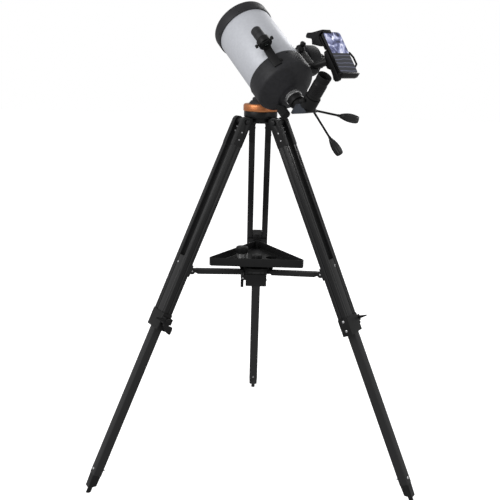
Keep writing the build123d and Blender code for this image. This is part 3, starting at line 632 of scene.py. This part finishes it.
def build_leg_screws(leg):
    side, outward, _ = leg_axes(leg)
    body, extension = f"leg_{leg}", f"extension_{leg}"
    outer_x, inner_x = RAIL_X + RAIL_HALF, RAIL_X - RAIL_HALF
    spots = [basis(leg_point(leg, s, sign * outer_x, 3), outward, side * sign)
             for s in (30, 50) for sign in (1, -1)]
    spots += [basis(leg_point(leg, s, sign * inner_x, 0), outward, side * -sign)
              for s in (15, 27) for sign in (1, -1)]
    crosspiece_s = 411
    spots += [basis(leg_point(leg, crosspiece_s, sign * RAIL_X, -16), side, -outward)
              for sign in (1, -1)]
    spots += [basis(leg_point(leg, crosspiece_s, sign * 12.4, -BRACE_BOLT_IN), outward,
                    side * sign) for sign in (1, -1)]
    screws(f"leg_screws_{leg}", spots, "steel", body, 2.4, 1.4)
    collar_x = 32.2
    spots = [basis(leg_point(leg, s, -collar_x, 1.7), outward, -side) for s in (543.5, 568.5)]
    spots.append(basis(leg_point(leg, LEVER_S, LEVER_X, -12.2), side, -outward))
    screws(f"collar_screws_{leg}", spots, "steel", body, 3.6, 1.8)
    # The screw near the top of the lower tube sits off its middle, mirrored on one leg.
    slot_x = -8 if leg == "front_left" else 8
    screws(f"slot_screw_{leg}", [basis(leg_point(leg, 401, slot_x, 11), side, outward)],
           "steel", extension, 3.0, 1.8)
    for where, sign, size, height in (("outer", 1, 3.6, 3.4), ("inner", -1, 2.8, 9.5)):
        spot = basis(leg_point(leg, 986, 0, sign * 11.6), side, outward * sign)
        screws(f"foot_bolt_{where}_{leg}", [spot], "steel", extension, size, height)


def build_leg(leg):
    refined(f"leg_yoke_{leg}", "black_paint", 1.0)
    build_rails(leg)
    refined(f"leg_collar_{leg}", "black_plastic", 1.0)
    refined(f"leg_lever_{leg}", "black_plastic", 1.0)
    prism(f"lower_leg_{leg}", rounded(rectangle(26.4, 23.6), 2.8, 4), 381, 1000,
          across_leg(leg, 0), "black_paint", f"extension_{leg}", (f"lower_tube_{leg}",))
    refined(f"foot_{leg}", "black_paint", 1.0)
    build_leg_screws(leg)


def build_spreader():
    for leg in LEGS:
        refined(f"spreader_arm_{leg}", "black_paint", 0.8)
        side = leg_axes(leg)[0]
        inner = side.cross(UP) * PLATE_HINGE_R * MM + UP * PLATE_HINGE_Z * MM
        outer = leg_point(leg, BRACE_BOLT_S, 0, -BRACE_BOLT_IN)
        prism(f"spreader_channel_{leg}", rectangle(132, 14, 66, 1.5), -8.3, 8.3,
              basis(inner, outer - inner, side), "black_paint", f"brace_{leg}", bevel=1.2)


def build_tray():
    refined("spreader_plate", "black_plastic", 0.8)
    refined("tray", "black_plastic", 0.8)
    lathe("tray_nut",
          [(0, 564.4), (4, 564.4), (4, 582.4), (15, 582.4), (16, 583.4), (16, 591),
           (14.6, 593.4), (8, 594.4), (0, 594.6)],
          Matrix(), "black_plastic", "tray_knob", ("tray_knob",), 120, ribs(6, 2.4, 14))
    empty_hole = Vector((41, 25, 0))
    # Painted shade: a closed black cup under the empty eyepiece hole, so the hole shows dark
    # instead of the white floor below it.
    lathe("hole_shade_cup",
          [(16, 577.9), (17.4, 577.9), (17.4, 566.6), (0, 566.6), (0, 568), (16, 568)],
          Matrix.Translation(empty_hole * MM), "black_plastic", "tray", segments=64)
    low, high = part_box("spare_eyepiece")
    centre = (low + high) / 2
    at = Matrix.Translation((centre.x, centre.y, 0))
    lathe("spare_chrome_barrel",
          [(14.4, 567), (15.4, 567), (BARREL_R, 567.5), (BARREL_R, 591), (14.4, 591)],
          at, "chrome", "spare", ("spare_eyepiece",), 72)
    lathe("spare_cap", [(0, 591.2), (16.4, 591.2), (17.2, 592), (17.2, 604), (16.6, 607),
                        (14.6, 609.4), (11, 610), (0, 610)],
          at, "black_plastic", "spare", segments=72)


# ---- internals keep their CAD shape ----
def paint_inside():
    for node, material in (("corrector_lens", "lens"), ("secondary_baffle", "inside"),
                           ("baffle_tube", "inside"), ("primary_mirror", "mirror"),
                           ("diagonal_mirror", "mirror")):
        mesh = frame["nodes"][node].data
        mesh.materials.clear()
        mesh.materials.append(MATERIALS[material])


# ---- studio ----
def build_floor():
    bm = bmesh.new()
    bmesh.ops.create_grid(bm, x_segments=1, y_segments=1, size=12)
    mesh = bpy.data.meshes.new("floor")
    bm.to_mesh(mesh)
    bm.free()
    floor = bpy.data.objects.new("floor", mesh)
    bpy.context.scene.collection.objects.link(floor)
    paint = bpy.data.materials.new("floor_white")
    paint.use_nodes = True
    shader = paint.node_tree.nodes["Principled BSDF"]
    shader.inputs["Base Color"].default_value = (0.8, 0.8, 0.8, 1)
    shader.inputs["Roughness"].default_value = 1.0
    shader.inputs["Emission Color"].default_value = (1, 1, 1, 1)
    shader.inputs["Emission Strength"].default_value = 0.8
    mesh.materials.append(paint)
    # The bright floor does not light the object from below.
    floor.visible_diffuse = False
    floor.visible_glossy = False


def build_lights():
    world = bpy.data.worlds.new("studio")
    world.use_nodes = True
    nodes, links = world.node_tree.nodes, world.node_tree.links
    background = nodes["Background"]
    background.inputs["Color"].default_value = (1, 1, 1, 1)
    # The background shows white and lights the object less than that.
    path = nodes.new("ShaderNodeLightPath")
    level = nodes.new("ShaderNodeMapRange")
    level.inputs["To Min"].default_value = 0.42
    level.inputs["To Max"].default_value = 1.0
    links.new(path.outputs["Is Camera Ray"], level.inputs["Value"])
    links.new(level.outputs["Result"], background.inputs["Strength"])
    bpy.context.scene.world = world
    bpy.context.scene.view_settings.view_transform = "Standard"
    target = Vector((0, 0, 0.8))
    for name, place, size, power in (("key", (-2.6, -2.2, 2.6), 2.6, 70),
                                     ("fill", (2.4, -2.0, 1.4), 1.6, 8),
                                     ("rim", (1.4, 2.2, 2.2), 1.2, 30)):
        data = bpy.data.lights.new(name, "AREA")
        data.size = size
        data.energy = power
        light = bpy.data.objects.new(name, data)
        light.location = place
        light.rotation_euler = (target - Vector(place)).to_track_quat("-Z", "Y").to_euler()
        bpy.context.scene.collection.objects.link(light)


def build_camera():
    pitch, roll, pan = radians(13.66), radians(1.52), radians(-0.48)
    focal_per_width = 1.674  # focal length over the width of the sensor
    forward = Vector((sin(pan) * cos(pitch), cos(pan) * cos(pitch), -sin(pitch)))
    right = Vector((cos(pan), -sin(pan), 0))
    above = right.cross(forward)
    image_right = right * cos(roll) + above * sin(roll)
    data = bpy.data.cameras.new("camera")
    data.sensor_width = 36
    data.lens = focal_per_width * data.sensor_width
    data.clip_end = 100
    camera = bpy.data.objects.new("camera", data)
    camera.matrix_world = basis(Vector((0, -2.225, 1.1466)), image_right, -forward)
    bpy.context.scene.collection.objects.link(camera)
    bpy.context.scene.camera = camera


build_floor()
build_lights()
build_camera()
build_tube()
build_focus()
build_diagonal()
build_eyepiece()
build_finder()
build_dock()
build_head()
build_crown()
for leg_name in LEGS:
    build_leg(leg_name)
build_spreader()
build_tray()
paint_inside()
